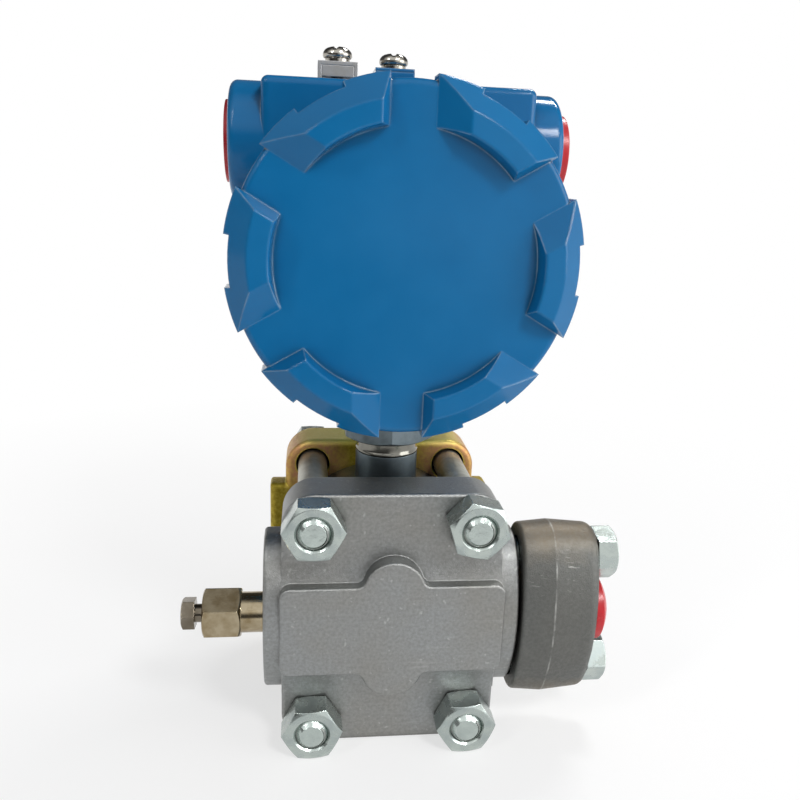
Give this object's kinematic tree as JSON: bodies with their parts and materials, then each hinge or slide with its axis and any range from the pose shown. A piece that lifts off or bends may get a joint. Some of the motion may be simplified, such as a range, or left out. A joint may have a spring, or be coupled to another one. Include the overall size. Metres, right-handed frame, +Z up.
{
  "type": "absolute pressure transmitter",
  "caption": "Absolute pressure transmitter: a blue housing with screw covers on a neck above bolted process flanges, with a flange adapter and a vent valve.",
  "frame": {"origin": "middle of the part's bounding box, on the plane that the two process flanges stand on", "axes": "+X to the flange adapter, -Y to the front cover and the viewer, +Z up along the neck"},
  "size_m": [0.1492, 0.105, 0.2329],
  "materials": {
    "cast_stainless": "shot-blasted casting",
    "yellow_zinc": "yellow chromate on zinc plate",
    "bright_zinc": "bright zinc plate",
    "module_steel": "dull dark steel",
    "bright_stainless": "machined bright",
    "forged_steel": "dull forging with a parting line",
    "blue_paint": "gloss blue paint on die-cast aluminium",
    "red_plastic": "gloss red",
    "nickel_plate": "nickel plate",
    "black_rubber": "matt",
    "circuit_board": "green solder mask",
    "black_plastic": "moulded",
    "glass_seal": "sealed pins"
  },
  "bodies": {
    "base": {"front_flange": "cast_stainless", "rear_flange": "yellow_zinc", "flange_bolts": "bright_zinc", "flange_nuts": "bright_zinc", "sensor_module": "module_steel", "isolating_diaphragm_front": "bright_stainless", "isolating_diaphragm_rear": "bright_stainless", "flange_seal_front": "black_rubber", "flange_seal_rear": "black_rubber", "threaded_nipple": "bright_stainless", "lock_nut": "module_steel", "flange_adapter": "forged_steel", "adapter_seal": "black_rubber", "adapter_bolts": "bright_zinc", "process_plug": "red_plastic", "vent_valve_body": "bright_stainless"},
    "housing": {"electronics_housing": "blue_paint", "conduit_plug_left": "red_plastic", "conduit_plug_right": "red_plastic", "ground_screw": "nickel_plate", "ground_clamp": "nickel_plate", "clamp_plate": "nickel_plate", "tag_screw": "nickel_plate", "tag_plate": "nickel_plate", "screw_washers": "nickel_plate", "amplifier_board": "circuit_board", "calibration_board": "circuit_board", "board_standoffs": "nickel_plate", "board_connector": "black_plastic", "feedthroughs": "glass_seal", "terminal_block": "black_plastic", "terminal_screws": "nickel_plate"},
    "front_seal": {"front_cover_seal": "black_rubber"},
    "front_cover": {"front_cover": "blue_paint"},
    "rear_seal": {"rear_cover_seal": "black_rubber"},
    "rear_cover": {"rear_cover": "blue_paint"},
    "vent_stem": {"vent_stem": "bright_stainless", "vent_ball": "bright_stainless"}
  },
  "joints": [
    {"name": "housing_turn", "type": "hinge", "parent": "base", "child": "housing", "pos_m": [-0.004, -0.0067, 0.1117], "axis": [0, 0, 1], "range_deg": [-90, 90]},
    {"name": "front_cover_travel", "type": "slide", "parent": "housing", "child": "front_seal", "axis": [0, -1, 0], "range_m": [0, 0.0128]},
    {"name": "front_cover_turn", "type": "hinge", "parent": "front_seal", "child": "front_cover", "pos_m": [-0.004, -0.0337, 0.167], "axis": [0, -1, 0], "range_deg": [0, 2160]},
    {"name": "rear_cover_travel", "type": "slide", "parent": "housing", "child": "rear_seal", "axis": [0, 1, 0], "range_m": [0, 0.0128]},
    {"name": "rear_cover_turn", "type": "hinge", "parent": "rear_seal", "child": "rear_cover", "pos_m": [-0.004, 0.0343, 0.167], "axis": [0, 1, 0], "range_deg": [0, 2160]},
    {"name": "vent_stem_turn", "type": "hinge", "parent": "base", "child": "vent_stem", "pos_m": [-0.0674, -0.0337, 0.0465], "axis": [-1, 0, 0], "range_deg": [0, 720]}
  ],
  "couplings": [
    {"joint": "front_cover_travel", "follows": "front_cover_turn", "m_per_rad": 0.00033693},
    {"joint": "rear_cover_travel", "follows": "rear_cover_turn", "m_per_rad": 0.00033693}
  ]
}
